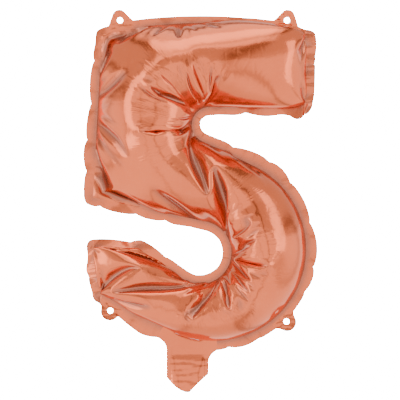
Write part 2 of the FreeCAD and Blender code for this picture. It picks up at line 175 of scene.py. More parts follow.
class Seams:
    """The two long seams of the figure as matched runs of points: one goes over the crown, down the
    upright and round the lower gap, the other under the bar, round the upper gap and the bowl."""

    FINE = 60                       # points in each run
    CROWN_MARKS = 0, 0.3, 0.66, 1   # shares of the crown over the gap, each opposite the same turn
    UPRIGHT_MARKS = 6
    KNEE = 0.15                     # share of the lower edge that still belongs to the upper bend

    def __init__(self):
        self.bowl_radius = (HEIGHT - BAR_WIDTH - 2 * UPPER_GAP - SLOPE_DROP) / 2
        self.bowl = complex(WIDTH - self.bowl_radius, self.bowl_radius)
        self.low = complex(WIDTH - BOWL_STROKE - LOWER_GAP, self.bowl.imag - LOWER_GAP_DROP)
        self.gap = complex(STEM_LEAN / 2 + STEM_WIDTH + UPPER_GAP, HEIGHT - BAR_WIDTH - UPPER_GAP)
        self.head = complex(STEM_LEAN, HEIGHT - BAR_RISE)
        self.foot = complex(0, self.low.imag + FOOT_RISE)
        self.tip = complex(WIDTH - BAR_INSET, HEIGHT - BAR_RISE)
        self.heel = complex(self.tip.real, self.gap.imag + UPPER_GAP + BAR_END_LIFT)
        self.arm_top = complex(0, self.low.imag + ARM_RISE)
        self.arm_foot = self.arm_top + complex(ARM_LEAN, -ARM_END)
        self.shoulder = self.arm_top + ARM_SHOULDER
        self.one, self.other = [], []
        self.bar()
        self.upper_bend()
        self.slope()
        self.bowl_and_arm()
        self.one = np.concatenate(self.one) - ORIGIN
        self.other = np.concatenate(self.other) - ORIGIN

    def crown(self, share):
        chord = self.tip + (self.head - self.tip) * share
        return chord + 1j * BAR_RISE * (1 - (2 * share - 1) ** 2)

    def add(self, one, other):
        self.one.append(one[:-1])
        self.other.append(other[:-1])

    def bar(self):
        self.root_share = (self.tip.real - self.gap.real) / (self.tip.real - self.head.real)
        shares = np.linspace(0, self.root_share, 2 * self.FINE)
        self.add(self.crown(shares), straight(self.heel, self.gap + 1j * UPPER_GAP, 2 * self.FINE))

    def upper_bend(self):
        """Crown, head, upright and foot outside; the round end of the upper gap inside."""
        reach = self.gap - self.bowl
        lean = math.acos((UPPER_GAP + self.bowl_radius) / abs(reach))
        self.bowl_start = np.angle(reach) - lean
        gap_end = self.bowl_start + math.pi
        self.low_start = tangent_turn(self.foot, self.low, LOWER_GAP, 1)
        self.low_root = self.low + LOWER_GAP * np.exp(1j * self.low_start)
        self.knee = self.foot + (self.low_root - self.foot) * self.KNEE
        rest = 1 - self.root_share
        crown = [self.crown(self.root_share + rest * np.linspace(a, b, self.FINE))
                 for a, b in zip(self.CROWN_MARKS, self.CROWN_MARKS[1:])]
        marks = straight(self.head, self.foot, self.UPRIGHT_MARKS)
        upright = [straight(a, b, self.FINE) for a, b in zip(marks, marks[1:])]
        outside = crown + upright + [straight(self.foot, self.knee, self.FINE)]
        turns = np.linspace(math.pi / 2, gap_end, len(outside) + 1)
        for run, start, end in zip(outside, turns, turns[1:]):
            self.add(run, arc(self.gap, UPPER_GAP, start, end, self.FINE))
        self.gap_root = self.gap + UPPER_GAP * np.exp(1j * gap_end)

    def slope(self):
        bowl_root = self.bowl + self.bowl_radius * np.exp(1j * self.bowl_start)
        self.add(straight(self.knee, self.low_root, 2 * self.FINE),
                 straight(self.gap_root, bowl_root, 2 * self.FINE))

    def bowl_and_arm(self):
        low_end = tangent_turn(self.shoulder, self.low, LOWER_GAP, -1)
        bowl_end = tangent_turn(self.arm_foot, self.bowl, self.bowl_radius, -1)
        self.add(arc(self.low, LOWER_GAP, self.low_start, low_end, 7 * self.FINE),
                 arc(self.bowl, self.bowl_radius, self.bowl_start, bowl_end, 7 * self.FINE))
        arm_root = self.low + LOWER_GAP * np.exp(1j * low_end)
        arm_low = self.bowl + self.bowl_radius * np.exp(1j * bowl_end)
        middle = (arm_low + self.arm_foot) / 2
        self.add(straight(arm_root, self.shoulder, self.FINE), straight(arm_low, middle, self.FINE))
        self.one.append(straight(self.shoulder, self.arm_top, 2 * self.FINE))
        self.other.append(straight(middle, self.arm_foot, 2 * self.FINE))


SEAMS = Seams()


def climb(distance):
    """Film that a closed end takes up beyond its plan length, at a distance from its seam."""
    near = np.clip(distance, 0, END_ROUNDING)
    return END_ROUNDING * np.arccos(1 - near / END_ROUNDING) - near


def half_ellipse(width, height, cells):
    """Angles that cut each half ellipse into equal lengths of film, and those lengths in all."""
    angle = np.linspace(0, math.pi, 181)
    across, out = -width[:, None] * np.cos(angle), height[:, None] * np.sin(angle)
    pieces = np.hypot(np.diff(across), np.diff(out))
    run = np.concatenate([np.zeros((len(width), 1)), np.cumsum(pieces, 1)], 1)
    shares = np.linspace(0, 1, cells + 1)
    cuts = np.array([np.interp(shares * r[-1], r, angle) for r in run])
    return cuts, run[:, -1]


class Cut:
    """The cut of the film on a grid: rows run across the figure from seam to seam, columns along it,
    and the margin lies outside the outermost seams.  It holds the plan, the first rough domes and the
    lengths that every small side and diagonal of the film keeps."""

    LOBE_SEEDS = 11, 12, 13         # of one seam, the other and the closed ends
    EVENED = 5                      # ribs over which the way out of a corner is evened out
    BEND_RIBS = 9                   # ribs over which a bend is evened out

    def __init__(self, step, spare):
        self.step, self.spare = step, spare
        self.edge = int(round(MARGIN / step))
        self.edge_step = MARGIN / self.edge
        self.space_ribs()
        self.raise_domes()
        self.lay_margin()
        self.measure()
        self.grip_film()

    def space_ribs(self):
        one, other = SEAMS.one, SEAMS.other
        run = np.concatenate([[0], np.cumsum(np.abs(np.diff((one + other) / 2)))])
        both_ends = climb(run) + climb(run[-1]) - climb(run[-1] - run)
        widest = np.maximum(np.abs(np.diff(one)), np.abs(np.diff(other)))
        film = np.concatenate([[0], np.cumsum(widest)]) + both_ends
        count = int(round(film[-1] / self.step)) + 1
        self.film = np.linspace(0, film[-1], count)
        place = np.interp(self.film, film, np.arange(len(film)))

        def pick(line):
            index = np.arange(len(line))
            return np.interp(place, index, line.real) + 1j * np.interp(place, index, line.imag)

        self.one, self.other, self.run = pick(one), pick(other), pick(run).real
        self.middle = pick(run + both_ends).real
        self.ribs = count

    def raise_domes(self):
        width = np.abs(self.other - self.one) / 2
        tall = np.minimum(HALF_DEPTH, width)
        from_end = np.minimum(self.run, self.run[-1] - self.run)
        short = 1 - np.clip(from_end / END_ROUNDING, 0, 1)
        height = tall * np.sqrt(1 - short ** 2)
        full = half_ellipse(width, tall, 1)[1]
        self.cells = int(round(np.median(full) / self.step))
        angle, length = half_ellipse(width, np.maximum(height, 0.001), self.cells)
        self.width = length + (full - length) * END_SLACK
        share = (1 - np.cos(angle)) / 2
        self.plan_inside = self.one[:, None] + (self.other - self.one)[:, None] * share
        self.height = height[:, None] * np.sin(angle)
        self.fold_bends()

    def fold_bends(self):
        """Where the figure bends, the film folds like a stovepipe elbow: valleys that run from the inner
        seam over the crown, one for each small share of the turn, with plain panels between them.  The
        crimp is where fine gathers stand across the crown."""
        lean = np.unwrap(np.angle(self.other - self.one))
        turned = np.concatenate([[0], np.cumsum(np.abs(np.diff(lean)))]) / math.radians(FOLD_TURN)
        bend = np.gradient(turned, self.middle) * math.radians(FOLD_TURN)
        phase = turned - FOLD_START
        near = np.abs(phase - np.round(phase)) / np.maximum(np.gradient(turned, self.film), 1e-9)
        bent = np.clip(bend * FOLD_RADIUS, 0, 1)
        valley = np.exp(-(near / FOLD_WIDTH) ** 2) * bent
        inner_is_one = np.abs(np.gradient(self.one)) < np.abs(np.gradient(self.other))
        share = np.linspace(0, 1, self.cells + 1)
        from_inner = np.where(inner_is_one[:, None], share, 1 - share)
        reach = np.clip((FOLD_REACH - from_inner) / FOLD_FADE, 0, 1) * np.clip(from_inner / FOLD_ROOT, 0, 1)
        self.height *= 1 - FOLD_DEPTH * valley[:, None] * reach
        self.crimp = bent[:, None] * np.exp(-((share - 0.5) / CRIMP_WIDTH) ** 2)

    def outward(self, line, away_from):
        """Unit steps out of the figure along a seam, evened out a little at its corners."""
        along = np.gradient(line)
        side = np.pad(1j * along / np.abs(along), self.EVENED // 2, mode="edge")
        side = np.convolve(side, np.ones(self.EVENED) / self.EVENED, "valid")
        side /= np.abs(side)
        return side if np.mean(((line - away_from) * side.conj()).real) > 0 else -side

    def lobes(self, line, seed, flares=SIDE_FLARES):
        """Width of the margin along a seam, as a share: lobes between small notches, plain at the tabs,
        the neck, the gaps and the crown."""
        draws = np.random.default_rng(seed)
        run = np.concatenate([[0], np.cumsum(np.abs(np.diff(line)))])
        count = 60      # more than any seam has
        notches = np.cumsum(draws.uniform(*LOBE_LENGTH, count)) - LOBE_LENGTH[0] / 2
        phase = np.interp(run, notches, np.arange(len(notches)))
        lobe = np.sqrt(np.abs(np.sin(phase * math.pi))) - 0.75
        kept = [tab.hole for tab in TABS] + [complex(NECK_X, NECK_FOLD)]
        plain = np.min([np.abs(line - place) for place in kept], 0)
        inner = np.min([np.abs(np.abs(line + ORIGIN - gap) - radius) for gap, radius in
                        ((SEAMS.gap, UPPER_GAP), (SEAMS.low, LOWER_GAP))], 0)
        keep = np.clip((plain - 2 * TAB_BASE) / TAB_BASE, 0, 1) * np.clip(inner / TAB_BASE, 0.15, 1)
        below_crown = np.clip((-BAR_RISE - line.imag) / TAB_BASE, 0, 1)
        flare = sum(extra * np.exp(-(np.abs(line - place) / reach) ** 2) for place, reach, extra in flares)
        return 1 + LOBE_DEPTH * lobe * keep * below_crown + flare / MARGIN

    def lay_margin(self):
        m, n, ribs = self.edge, self.cells, self.ribs
        self.plan = np.zeros((ribs + 2 * m, n + 1 + 2 * m), complex)
        self.plan[m:m + ribs, m:m + n + 1] = self.plan_inside
        one_seed, other_seed, _ = self.LOBE_SEEDS
        left, right = self.outward(self.one, self.other), self.outward(self.other, self.one)
        left, right = left * self.lobes(self.one, one_seed), right * self.lobes(self.other, other_seed)
        for k in range(1, m + 1):
            self.plan[m:m + ribs, m - k] = self.one + left * self.edge_step * k
            self.plan[m:m + ribs, m + n + k] = self.other + right * self.edge_step * k
        self.lay_end(0, -1, abs(left[0]), abs(right[0]))
        self.lay_end(ribs - 1, 1, abs(left[-1]), abs(right[-1]))
        self.welded = np.ones(self.plan.shape, bool)
        self.welded[m + 1:m + ribs - 1, m + 1:m + n] = False
        self.seam = np.zeros(self.plan.shape, bool)
        self.seam[m:m + ribs, [m, m + n]] = True
        self.seam[[m, m + ribs - 1], m:m + n + 1] = True

    def lay_end(self, end, way, left, right):
        """Margin beyond a closed end, and its corners, which join the widths of the two margins."""
        m, n, step = self.edge, self.cells, self.edge_step
        across = self.other[end] - self.one[end]
        across /= abs(across)
        out = 1j * across
        ribs_in = 6 * way
        inwards = self.plan_inside[end - ribs_in].mean() - self.plan_inside[end].mean()
        if (inwards * out.conj()).real > 0:
            out = -out
        edge = self.lobes(self.plan_inside[end], self.LOBE_SEEDS[-1], END_FLARES)
        corners = ((self.one[end], -across, -1, m, left, edge[0]),
                   (self.other[end], across, 1, m + n, right, edge[-1]))
        for k in range(1, m + 1):
            row = self.plan[m + end + way * k]
            row[m:m + n + 1] = self.plan_inside[end] + out * step * k * edge
            for q in range(1, m + 1):
                for corner, aside, hand, column, beside, below in corners:
                    reach = out * k * below + aside * q * beside
                    row[column + hand * q] = corner + reach / math.hypot(k, q) * max(k, q) * step

    def measure(self):
        """Lengths the film keeps.  Along the figure they grow evenly from one seam to the other, as
        in the flat cut, so the inner half of a bend has film to spare and pleats."""
        m, n, ribs, plan = self.edge, self.cells, self.ribs, self.plan
        share = np.linspace(0, 1, n + 1)
        one, other = np.abs(np.diff(self.one)), np.abs(np.diff(self.other))
        flat = one[:, None] * (1 - share) + other[:, None] * share
        dome = np.stack([self.plan_inside.real, self.height, self.plan_inside.imag], -1)
        rounded = np.linalg.norm(np.diff(dome, axis=0), axis=-1)
        turn = np.abs(np.angle(np.exp(1j * np.diff(np.angle(self.other - self.one)))))
        even = np.ones(self.BEND_RIBS) / self.BEND_RIBS
        bend = np.convolve(turn / np.diff(self.middle), even, "same")[:, None]
        flat *= 1 + BEND_SLACK * np.minimum(bend * SLACK_RADIUS, 1)
        along = np.abs(np.diff(plan, axis=0)) * (1 + MARGIN_SLACK)
        taut = rounded * (1 + SLACK)
        along[m:m + ribs - 1, m:m + n + 1] = taut + np.maximum(flat - taut, 0) * self.spare
        across = np.abs(np.diff(plan, axis=1))
        across[:, m:m + n] = (np.pad(self.width, m, mode="edge") / n)[:, None]
        down = np.diff(plan, axis=0)
        side = np.diff(plan, axis=1)
        down, side = (down[:, :-1] + down[:, 1:]), (side[:-1] + side[1:])
        lean = (down * side.conj()).real / np.maximum(np.abs(down) * np.abs(side), 1e-9)
        tall, wide = (along[:, :-1] + along[:, 1:]) / 2, (across[:-1] + across[1:]) / 2
        self.along, self.across = along, across
        self.falling = np.sqrt(tall ** 2 + wide ** 2 + 2 * tall * wide * lean)
        self.rising = np.sqrt(np.maximum(tall ** 2 + wide ** 2 - 2 * tall * wide * lean, 1e-6))

    def grip_film(self):
        """Share of the way back to the flat plan that each point goes in a round: a little on the
        seam, which the air rounds off, more where the tabs stiffen the margin, all of it at the neck."""
        self.grip = np.zeros((*self.plan.shape, 3))
        self.grip[self.seam] = SEAM_GRIP
        for tab in TABS:
            near = self.welded & (np.abs(self.plan - tab.hole) < TAB_BASE)
            self.grip[near] = TAB_GRIP
        beside = np.abs(self.plan.real - NECK_X) < NECK_WIDTH / 2 + NECK_FILLET
        self.grip[self.welded & beside & (self.plan.imag < NECK_FOLD / 2)] = 1
        lips = (np.abs(self.plan.real - NECK_X) < NECK_WIDTH) & (self.plan.imag < LIP_HIGH[2] + MARGIN)
        self.over_lips = lips & ~self.welded

    def rough_sheet(self, facing):
        m = self.edge
        out = np.zeros(self.plan.shape)
        out[m:m + self.ribs, m:m + self.cells + 1] = self.height
        return np.stack([self.plan.real, facing * out, self.plan.imag], -1)


# ---------------------------------------------------------------- blowing it up

def keep_length(film, one, two, length):
    """Moves two interleaved sets of points so that the film between them has its own length."""
    gap = film[two] - film[one]
    now = np.sqrt(np.einsum("ijk,ijk->ij", gap, gap))
    gap *= (0.5 * (now - length) / np.maximum(now, 1e-9))[..., None]
    film[one] += gap
    film[two] -= gap


def keep_cut(film, cut):
    """Brings every small side and diagonal of the film back to its length, once."""
    for odd in (0, 1):
        last = odd + 2 * ((film.shape[0] - odd) // 2)
        rows, after = slice(odd, last, 2), slice(odd + 1, last + 1, 2)
        keep_length(film, np.s_[rows], np.s_[after], cut.along[odd:last:2])
        keep_length(film, np.s_[rows, :-1], np.s_[after, 1:], cut.falling[odd:last:2])
        keep_length(film, np.s_[rows, 1:], np.s_[after, :-1], cut.rising[odd:last:2])
        last = odd + 2 * ((film.shape[1] - odd) // 2)
        keep_length(film, np.s_[:, odd:last:2], np.s_[:, odd + 1:last + 1:2], cut.across[:, odd:last:2])


def stiffen(film, share):
    """Film resists a bend: a point moves towards the middle of its neighbours, and they away."""
    for lines in (film, film.swapaxes(0, 1)):
        bow = ((lines[:-2] + lines[2:]) / 2 - lines[1:-1]) * (share / 2)
        lines[1:-1] += bow
        lines[:-2] -= bow / 2
        lines[2:] -= bow / 2


def air(film, cut, push):
    """Step that the air gives every point, square to the film and by its area."""
    square = np.cross(film[1:, 1:] - film[:-1, :-1], film[:-1, 1:] - film[1:, :-1]) / 8
    step = np.zeros_like(film)
    for rows in (slice(1, None), slice(None, -1)):
        for columns in (slice(1, None), slice(None, -1)):
            step[rows, columns] += square
    step[cut.welded] = 0
    return step * (push / cut.step ** 2)


def clear_lips(film, cut, facing):
    """Keeps the film outside the valve's lips, however far they spread."""
    near = film[cut.over_lips]
    aside = np.maximum(LIP_LOW[0] - near[:, 0], near[:, 0] - LIP_HIGH[0])
    outside = np.maximum(np.maximum(aside, near[:, 2] - LIP_HIGH[2]), 0)
    spread_to = (near[:, 2] - LIP_FOLD) * LIP_SPREAD + LIP_ROOM - outside
    near[:, 1] = facing * np.maximum(facing * near[:, 1], spread_to)
    film[cut.over_lips] = near


def blow_up(cut, sheets, rounds, push, unrest, draws):
    """Lets the air in: both sheets move until the air's push and the film's lengths balance."""
    shared = cut.welded
    gripped = cut.grip.any(-1)
    grip = cut.grip[gripped]
    target = np.stack([cut.plan.real, np.zeros(cut.plan.shape), cut.plan.imag], -1)[gripped]
    shake = draws.normal(0, unrest, cut.plan.shape)
    for film, own in zip(sheets, draws.normal(0, unrest, (2, *cut.plan.shape))):
        film[..., 1] += np.where(shared, shake, own)
    front = sheets[0]
    square = np.cross(front[1:, 1:] - front[:-1, :-1], front[:-1, 1:] - front[1:, :-1])
    handed = np.sign(square[..., 1].sum())
    speed = [np.zeros_like(film) for film in sheets]
    limit = cut.step / 4
    for _ in range(rounds):
        before = [film.copy() for film in sheets]
        for film, pace, facing in zip(sheets, speed, (-1, 1)):
            film += pace + air(film, cut, facing * handed * push)
            keep_cut(film, cut)
            stiffen(film, STIFFNESS)
            clear_lips(film, cut, facing)
        weld = (sheets[0][shared] + sheets[1][shared]) / 2
        for film, old, pace in zip(sheets, before, speed):
            film[shared] = weld
            film[gripped] += (target - film[gripped]) * grip
            pace[:] = np.clip((film - old) * DRAG, -limit, limit)


def regrid(film, old, new):
    """The film of a coarse cut read at the points of a finer one."""
    def places(count, inside, old_inside):
        at = np.arange(count) - new.edge
        outer = np.where(at < 0, at, at - inside) * (old.edge / new.edge)
        inner = at * (old_inside / inside)
        place = np.where(at < 0, outer, np.where(at > inside, outer + old_inside, inner))
        return place + old.edge

    rows = places(new.plan.shape[0], new.ribs - 1, old.ribs - 1)
    columns = places(new.plan.shape[1], new.cells, old.cells)
    for axis, place in ((0, rows), (1, columns)):
        low = np.clip(place.astype(int), 0, film.shape[axis] - 2)
        share = np.expand_dims(place - low, (1, 2) if axis == 0 else (0, 2))
        film = np.take(film, low, axis) * (1 - share) + np.take(film, low + 1, axis) * share
    return film


def blown_film():
    """Front and back film of the finished figure and their cut, coarse first and then finer."""
    draws = np.random.default_rng(SEED)
    levels = LEVELS
    old = sheets = None
    for step, rounds, push, unrest, spare in levels:
        cut = Cut(step, spare)
        if old is None:
            sheets = [cut.rough_sheet(-1), cut.rough_sheet(1)]
        else:
            sheets = [regrid(film, old, cut) for film in sheets]
        blow_up(cut, sheets, rounds, push, unrest, draws)
        old = cut
    return cut, sheets


# ---------------------------------------------------------------- film pieces

def slab_faces(shape, cells, ring):
    """Quads of the closed slab between two grids of points, the far grid numbered after the near one."""
    beyond = shape[0] * shape[1]
    points = np.arange(beyond).reshape(shape)
    if ring:
        points = np.concatenate([points, points[:1]])
    if cells is None:
        cells = np.ones((points.shape[0] - 1, points.shape[1] - 1), bool)
    top = np.stack([points[:-1, :-1], points[1:, :-1], points[1:, 1:], points[:-1, 1:]], -1)[cells]
    above = np.pad(cells, ((1, 1), (0, 0)), mode="wrap" if ring else "constant")
    beside = np.pad(cells, ((0, 0), (1, 1)))
    rims = [(above[:-1] & ~above[1:], points[:, 1:], points[:, :-1]),
            (above[1:] & ~above[:-1], points[:, :-1], points[:, 1:]),
            (beside[:, :-1] & ~beside[:, 1:], points[:-1], points[1:]),
            (beside[:, 1:] & ~beside[:, :-1], points[1:], points[:-1])]
    walls = [np.stack([start[rim], end[rim], end[rim] + beyond, start[rim] + beyond], -1)
             for rim, start, end in rims]
    return np.concatenate([top, top[:, ::-1] + beyond, *walls])


def film_piece(name, near, far, cells=None, ring=False, marks=()):
    """Closed film between two grids of points, over the cells that it keeps, in metres.  A ring's last
    row joins its first.  Marks are grids of numbers that its finish reads."""
    used, faces = np.unique(slab_faces(near.shape[:2], cells, ring), return_inverse=True)
    faces = faces.reshape(-1, 4)
    places = np.concatenate([near.reshape(-1, 3), far.reshape(-1, 3)])[used] * MM
    corners = places[faces]
    volume = np.einsum("ij,ij->", corners[:, 0], np.cross(corners[:, 1], corners[:, 2]))
    volume += np.einsum("ij,ij->", corners[:, 0], np.cross(corners[:, 2], corners[:, 3]))
    if volume < 0:
        faces = faces[:, ::-1]
    mesh = bpy.data.meshes.new(name)
    mesh.from_pydata(places.tolist(), [], faces.tolist())
    mesh.polygons.foreach_set("use_smooth", np.ones(len(faces), bool))
    mesh.set_sharp_from_angle(angle=math.radians(70))
    for mark, grid in marks:
        both = np.concatenate([grid.ravel(), grid.ravel()])[used]
        mesh.attributes.new(mark, "FLOAT", "POINT").data.foreach_set("value", both.astype(np.float32))
    piece = bpy.data.objects.new(name, mesh)
    bpy.context.scene.collection.objects.link(piece)
    return piece


def film_normals(film, facing, ring=False):
    """Unit steps square to a grid of film, on the side of the given y."""
    if ring:
        film = np.concatenate([film[-1:], film, film[:1]])
    square = np.cross(np.gradient(film, axis=0), np.gradient(film, axis=1))
    square /= np.maximum(np.linalg.norm(square, axis=-1, keepdims=True), 1e-9)
    if ring:
        square = square[1:-1]
    return square * np.sign(square[..., 1].mean() * facing)


def crease_shade_marks(film, facing, reach):
    """Painted shade where the film folds inwards, from 0 to 1, spread a little past each fold: the crease
    is darkened by colour, not by light.  The reach is in grid cells."""
    wide = np.pad(film, ((reach, reach), (reach, reach), (0, 0)), mode="edge")
    inside = slice(reach, -reach)
    around = (wide[2 * reach:, inside] + wide[:-2 * reach, inside]
              + wide[inside, 2 * reach:] + wide[inside, :-2 * reach]) / 4
    hollow = np.einsum("ijk,ijk->ij", around - film, film_normals(film, facing))
    marks = np.clip((hollow - CREASE_SHADE_START) / CREASE_SHADE_SPAN, 0, 1)
    for _ in range(2):
        marks = spread(spread(marks, 0), 1)
    return marks


def spread(marks, axis):
    """Each number averaged with its neighbours along one axis."""
    ends = [(0, 0), (0, 0)]
    ends[axis] = (1, 1)
    padded = np.pad(marks, ends, mode="edge")
    return (np.take(padded, range(0, marks.shape[axis]), axis) + marks
            + np.take(padded, range(2, marks.shape[axis] + 2), axis)) / 3


def crumple(x, z, seed, low, high):
    """Shallow creases in all directions, from 0 to 1, on wavelengths between the two."""
    draws = np.random.default_rng(seed)
    total = np.zeros(np.shape(x))
    waves = 6
    for _ in range(waves):
        way, length, start = draws.uniform(0, math.pi), draws.uniform(low, high), draws.uniform(0, 6)
        total += np.abs(np.sin((x * math.cos(way) + z * math.sin(way)) * math.pi / length + start))
    return total / waves


def mouth_rise(sideways, rise, start, curve):
    """Height of the neck's uneven mouth over its lowest point."""
    return rise * np.clip((sideways - start) / (1 - start), 0, 1) ** curve


class Balloon:
    """The blown film and the pieces that it is cut into."""

    TAB_RINGS, RING_SPREAD = 9, 1.3             # rings of points, closer together at the hole
    HEAD_POINTS, SIDE_POINTS = 33, 6
    TAB_CRUMPLE = 3, 4, 9                       # seed and wavelengths
    NECK_CRUMPLE = 4, 5, 11
    NECK_ROWS = 37

    def __init__(self):
        self.cut, (self.front, self.back) = blown_film()
        m, n, ribs = self.cut.edge, self.cut.cells, self.cut.ribs
        self.over_front = self.front + film_normals(self.front, -1) * GAUGE
        self.over_back = self.back + film_normals(self.back, 1) * GAUGE
        self.body = np.zeros((self.front.shape[0] - 1, self.front.shape[1] - 1), bool)
        self.body[m:m + ribs - 1, m:m + n] = True
        self.margin = ~self.body

    def films(self):
        m, n = self.cut.edge, self.cut.cells
        crimp = np.zeros(self.cut.plan.shape)
        crimp[m:m + self.cut.ribs, m:m + n + 1] = self.cut.crimp
        along = np.zeros(crimp.shape) + (np.arange(len(crimp)) * self.cut.step)[:, None]
        across = np.zeros(crimp.shape) + np.arange(crimp.shape[1]) * self.cut.step
        marks = ("crimp", crimp), ("film_along", along), ("film_across", across)
        # fold marks: painted shade for each film's creases, which the foil's finish reads as the fold
        # attribute
        self.folds = [crease_shade_marks(self.front, -1, 2), crease_shade_marks(self.back, 1, 2)]
        front = film_piece("front_foil", self.over_front, self.front, self.body,
                           marks=(*marks, ("fold", self.folds[0])))
        back = film_piece("back_foil", self.over_back, self.back, self.body,
                          marks=(*marks, ("fold", self.folds[1])))
        return front, back

    def seam_side(self, spot):
        """Column of the nearest seam to a place in the plan, and the way out from it."""
        m, n = self.cut.edge, self.cut.cells
        reach = [np.abs(self.cut.plan[:, column] - spot).min() for column in (m, m + n)]
        return (m, -1) if reach[0] < reach[1] else (m + n, 1)

    def margin_lines(self, column, way):
        """Grid columns of the margin on one side, from the seam outwards."""
        return [column + way * k for k in range(self.cut.edge + 1)]

    def leave_out(self, rows, lines):
        """Takes a patch out of the margin, for a piece of its own."""
        self.margin[rows[0]:rows[1], min(lines):max(lines)] = False

    def tab(self, place):
        """Tab with its punched hole, from the line that it folds on: rings of points round the hole."""
        lines = self.margin_lines(*self.seam_side(place.fold))
        lines = lines[self.fold_line():]
        local = (self.cut.plan[:, lines[0]] - place.fold) / place.out
        rows = np.flatnonzero((np.abs(local.imag) < TAB_BASE) & (np.abs(local.real) < TAB_RISE))
        first, last = rows[0], rows[-1]
        self.leave_out((first, last), lines)
        film = (self.front + self.back) / 2
        base = film[first:last + 1, lines[0]]
        flanks = film[last, lines[1:]], film[first, lines[1:]][::-1]
        shift = np.array([0, base[:, 1].mean(), 0])

        def laid(local_point):
            spot = place.fold + place.out * local_point
            rise = local_point.real / TAB_RISE
            return self.flat(spot) + shift - np.array([0, TAB_CURL, 0]) * (rise ** 2)[..., None]

        turned = 1 if local[last].imag > local[first].imag else -1
        rim = np.concatenate([base, flanks[0], *self.tab_edge(place, flanks, turned, laid), flanks[1]])
        seen = (rim[:, 0] + 1j * rim[:, 2] - place.hole) / place.out
        punched = laid(TAB_RISE + TAB_HOLE * seen / np.abs(seen))
        share = np.linspace(0, 1, self.TAB_RINGS)[None, :, None] ** self.RING_SPREAD
        plate = punched[:, None] * (1 - share) + rim[:, None] * share
        bubble = crumple(plate[..., 0], plate[..., 2], *self.TAB_CRUMPLE) - 0.5
        plate[..., 1] += np.sin(share[..., 0] * math.pi) * bubble * TAB_BUBBLE
        square = film_normals(plate, -1, ring=True) * GAUGE
        return film_piece(f"hanging_tab_{place.name}_foil", plate + square, plate - square, ring=True)

    def tab_edge(self, place, flanks, turned, laid):
        """Edge of a tab: up one side, round its head and down the other side."""
        rise, radius, start, side = place.head
        turn = np.linspace(math.pi / 2 - start, start - math.pi / 2, self.HEAD_POINTS) * turned
        head = TAB_RISE + rise + radius * np.exp(1j * turn)
        knee = complex(TAB_RISE + side[0], turned * side[1])
        share = np.linspace(0, 1, self.SIDE_POINTS)[1:-1, None]

        def curve(corner, middle, end):
            middle, end = laid(np.array(middle)), laid(np.array(end))
            return corner * (1 - share) ** 2 + middle * 2 * share * (1 - share) + end * share ** 2

        up = curve(flanks[0][-1], knee, head[0])
        down = curve(flanks[1][0], knee.conjugate(), head[-1])
        return up, laid(head), down[::-1]

    def fold_line(self):
        """Margin line that the tabs fold on, a little outside the seam."""
        return int(round(TAB_OFFSET / self.cut.edge_step))

    @staticmethod
    def flat(plan):
        return np.stack([np.real(plan), 0 * np.real(plan), np.imag(plan)], -1)

    def neck(self):
        """Both films of the neck, from the seam of the body down to the open mouth."""
        column, way = self.seam_side(complex(NECK_X, NECK_FOLD))
        lines = self.margin_lines(column, way)
        reach = NECK_WIDTH / 2 + NECK_FILLET
        edge = self.cut.plan[:, lines[-1]]
        rows = np.flatnonzero((np.abs(edge.real - NECK_X) < reach) & (edge.imag < NECK_FOLD / 2))
        first, last = rows[0], rows[-1]
        self.leave_out((first, last), lines)
        film = (self.front + self.back) / 2
        top = film[first:last + 1, lines].swapaxes(0, 1)
        root = top[-1]
        sideways = np.interp(root[:, 0], [root[:, 0].min(), root[:, 0].max()], [-1, 1])
        low = NECK_LOW[2] + mouth_rise(-sideways, *MOUTH_LEFT) + mouth_rise(sideways, *MOUTH_RIGHT)
        share = np.linspace(0, 1, self.NECK_ROWS)[1:, None]
        z = root[None, :, 2] * (1 - share) + low * share
        depth = np.clip((root[None, :, 2] - z) / (NECK_FILLET + 2), 0, 1)
        narrow = np.sqrt(1 - (1 - depth) ** 2)
        half = reach + (NECK_WIDTH / 2 - reach) * narrow
        side = NECK_X + sideways * half
        x = root[None, :, 0] + (side - root[None, :, 0]) * narrow ** 0.5
        body = np.stack([x, np.zeros_like(x), z], -1)
        sheet = np.concatenate([top, body])
        return self.neck_film("neck_front_foil", sheet, -1), self.neck_film("neck_back_foil", sheet, 1)

    def neck_film(self, name, sheet, facing):
        x, z = sheet[..., 0], sheet[..., 2]
        chord = NECK_WIDTH / 2 - NECK_WELD
        across = 1 - np.clip(np.abs(x - NECK_X) / chord, 0, 1) ** 4
        down = np.clip((NECK_HIGH[2] - z) / (NECK_HIGH[2] - NECK_LOW[2]), 0, 1)
        open_by = (NECK_PINCH + (NECK_BULGE - NECK_PINCH) * down) * across
        seed, *lengths = self.NECK_CRUMPLE
        creases = crumple(x * 0.5, z, seed + facing, *lengths) * NECK_CREASE
        open_by += creases * np.clip(down * 5, 0, 1)
        open_by[0] = 0
        inside = sheet.copy()
        inside[..., 1] += facing * open_by
        outside = inside + film_normals(inside, facing) * GAUGE
        return film_piece(name, outside, inside)

    def margin_piece(self):
        # painted shade along the seam and in the margin's creases, from both films' fold marks
        fold = np.maximum(*self.folds)
        return film_piece("welded_margin", self.over_front, self.over_back, self.margin,
                          marks=(("fold", fold),))


balloon = Balloon()
tabs = [balloon.tab(place) for place in TABS]
neck_films = balloon.neck()
front_foil, back_foil = balloon.films()
welded_margin = balloon.margin_piece()


# ---------------------------------------------------------------- finishes

class Value:
    """A number on a material's socket.  Sums with it add Math nodes."""

    def __init__(self, finish, socket):
        self.finish, self.socket = finish, socket

    def maths(self, operation, *values):
        return self.finish.node("Math", {"operation": operation}, *values)

    def __add__(self, other):
        return self.maths("ADD", self, other)

    __radd__ = __add__

    def __mul__(self, other):
        return self.maths("MULTIPLY", self, other)

    __rmul__ = __mul__

    def __sub__(self, other):
        return self.maths("SUBTRACT", self, other)

    def __rsub__(self, other):
        return self.maths("SUBTRACT", other, self)

    def squared(self):
        return self * self

    def clipped(self):
        return self.maths("MINIMUM", self.maths("MAXIMUM", self, 0.0), 1.0)


OBJECT_PLACE, DIRECTION, NUMBER = 3, 0, 2      # outputs of the Texture Coordinate and Attribute nodes


